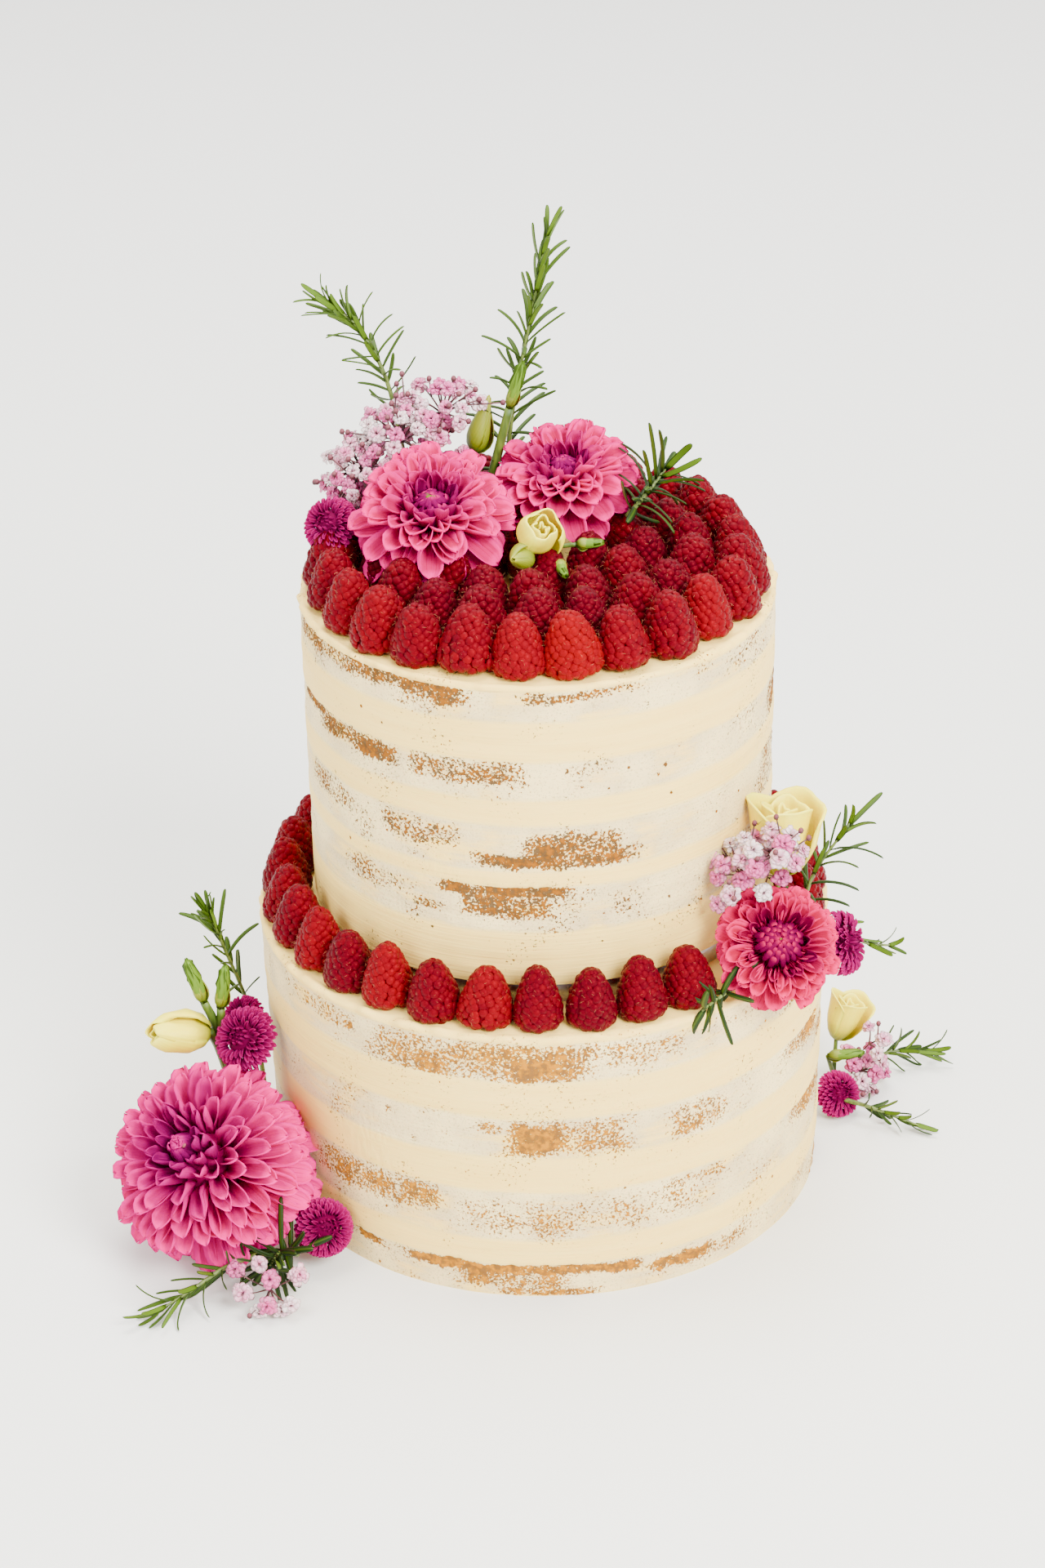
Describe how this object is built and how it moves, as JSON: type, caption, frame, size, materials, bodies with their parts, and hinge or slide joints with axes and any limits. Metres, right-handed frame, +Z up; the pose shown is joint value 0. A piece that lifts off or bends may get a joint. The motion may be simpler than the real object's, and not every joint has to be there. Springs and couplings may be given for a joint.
{
  "type": "naked cake",
  "caption": "Tiered naked cake with sponge and cream layers showing, red berries on the ledge and top, and fresh flowers with rosemary sprigs.",
  "frame": {"origin": "middle of the lower tier's foot, where the cake rests on its board", "axes": "+Z up through both tiers, -Y to the front as pictured, +X to the viewer's right"},
  "size_m": [0.3586, 0.2488, 0.3984],
  "materials": {
    "cream": "matte, scraped buttercream",
    "sponge": "matte, open crumb",
    "card": "satin silver foil",
    "berry": "satin, fine hairs",
    "dahlia": "soft petal",
    "coralDahlia": "soft petal",
    "pom": "soft petal",
    "lisianthus": "soft petal",
    "bud": "soft bud",
    "rosemary": "matte leaf",
    "gypsophila": "soft blossom"
  },
  "bodies": {
    "root": {"lower_cream_top": "cream", "lower_sponge_1": "sponge", "lower_cream_1": "cream", "lower_sponge_2": "sponge", "lower_cream_2": "cream", "lower_sponge_3": "sponge", "lower_cream_3": "cream", "lower_sponge_4": "sponge", "tier_card": "card", "upper_cream_top": "cream", "upper_sponge_1": "sponge", "upper_cream_1": "cream", "upper_sponge_2": "sponge", "upper_cream_2": "cream", "upper_sponge_3": "sponge", "upper_cream_3": "cream", "upper_sponge_4": "sponge", "upper_cream_4": "cream", "pom_top_left": "pom", "dahlia_top_left": "dahlia", "dahlia_top_right": "dahlia", "lisianthus_top_buds": "bud", "lisianthus_top_spray": "lisianthus", "rosemary_top_tall": "rosemary", "rosemary_top_left": "rosemary", "rosemary_top_right": "rosemary", "gypsophila_top": "gypsophila", "dahlia_side": "coralDahlia", "pom_side": "pom", "lisianthus_side": "lisianthus", "gypsophila_side": "gypsophila", "rosemary_side_up": "rosemary", "rosemary_side_star": "rosemary", "rosemary_side_low": "rosemary", "dahlia_base": "dahlia", "pom_base_upper": "pom", "pom_base_behind": "pom", "pom_base_lower": "pom", "lisianthus_base": "lisianthus", "rosemary_base_up": "rosemary", "rosemary_base_low": "rosemary", "rosemary_base_front": "rosemary", "gypsophila_base": "gypsophila", "lisianthus_base_right": "lisianthus", "pom_base_right": "pom", "gypsophila_base_right": "gypsophila", "rosemary_base_right": "rosemary", "rosemary_base_right_low": "rosemary", "ledge_berries": "berry", "top_berries": "berry"}
  },
  "joints": []
}
